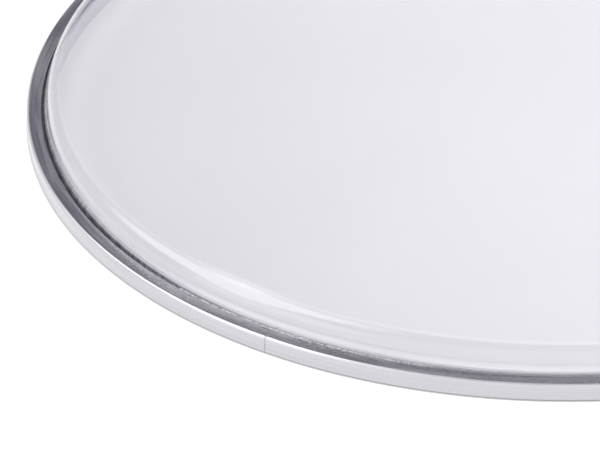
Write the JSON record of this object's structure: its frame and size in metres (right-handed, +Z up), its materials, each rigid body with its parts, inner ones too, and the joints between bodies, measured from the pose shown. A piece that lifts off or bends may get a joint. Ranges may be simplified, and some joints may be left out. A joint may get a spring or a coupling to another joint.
{
  "type": "drum head",
  "caption": "Clear single-ply drum head: a moulded film with a raised collar, cast in resin into a rolled aluminium channel hoop that slips over a drum shell.",
  "frame": {"origin": "centre of the plane that the hoop's underside rests on", "axes": "+Z up the head's axis, towards the playing side; the hoop's butt joint faces -Y"},
  "size_m": [0.371, 0.371, 0.0148],
  "materials": {
    "hoop": "satin",
    "weld": "rough",
    "film": "clear gloss",
    "resin": "clear gloss"
  },
  "bodies": {
    "root": {"channel_hoop": "hoop", "hoop_seam_weld": "weld", "drum_film": "film", "resin_ring": "resin", "resin_flash": "resin"}
  },
  "joints": []
}
